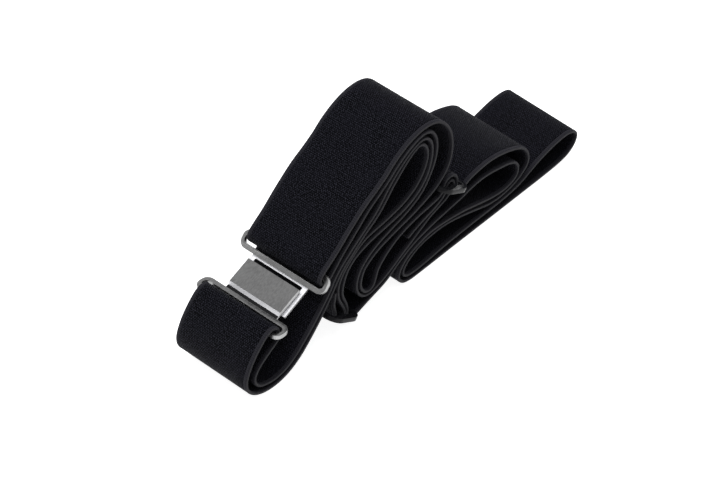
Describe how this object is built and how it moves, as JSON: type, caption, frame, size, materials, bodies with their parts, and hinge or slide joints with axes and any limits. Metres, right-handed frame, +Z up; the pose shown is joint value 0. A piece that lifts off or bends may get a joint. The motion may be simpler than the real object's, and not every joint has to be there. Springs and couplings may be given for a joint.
{
  "type": "elastic suspender strap",
  "caption": "Wide black elastic strap folded to and fro, joined by a hook clasp of metal loops and set for length by moulded slide adjusters.",
  "frame": {"origin": "on the surface the folded strap lies on, at the middle of the pile", "axes": "+X along the pile from the clasp to the last fold, +Y across the strap, +Z up"},
  "size_m": [0.1896, 0.0442, 0.0702],
  "materials": {
    "webbing": "matte ribbed weave",
    "clasp_metal": "satin gunmetal with bright bevels",
    "adjuster_plastic": "glossy",
    "thread": "matte thread"
  },
  "bodies": {
    "strap": {"webbing": "webbing", "rear_bar_tack": "thread", "front_bar_tack": "thread"},
    "upper_clasp": {"upper_clasp_half": "clasp_metal"},
    "lower_clasp": {"lower_clasp_half": "clasp_metal"},
    "rear_slide": {"rear_adjuster": "adjuster_plastic"},
    "front_slide": {"front_adjuster": "adjuster_plastic"}
  },
  "joints": [
    {"name": "upper_clasp_swing", "type": "hinge", "parent": "strap", "child": "upper_clasp", "pos_m": [-0.05307, 0.0004, 0.03338], "axis": [0, -1, 0], "range_deg": [0, 10]},
    {"name": "lower_clasp_swing", "type": "hinge", "parent": "strap", "child": "lower_clasp", "pos_m": [-0.0801, 0.0004, 0.02478], "axis": [0, -1, 0], "range_deg": [0, 30]},
    {"name": "rear_adjuster_rock", "type": "hinge", "parent": "strap", "child": "rear_slide", "pos_m": [0.015, 0, 0.0325], "axis": [0, -1, 0], "range_deg": [0, 8]},
    {"name": "front_adjuster_rock", "type": "hinge", "parent": "strap", "child": "front_slide", "pos_m": [-0.0457, 0, 0.01], "axis": [0, -1, 0], "range_deg": [0, 8]}
  ]
}
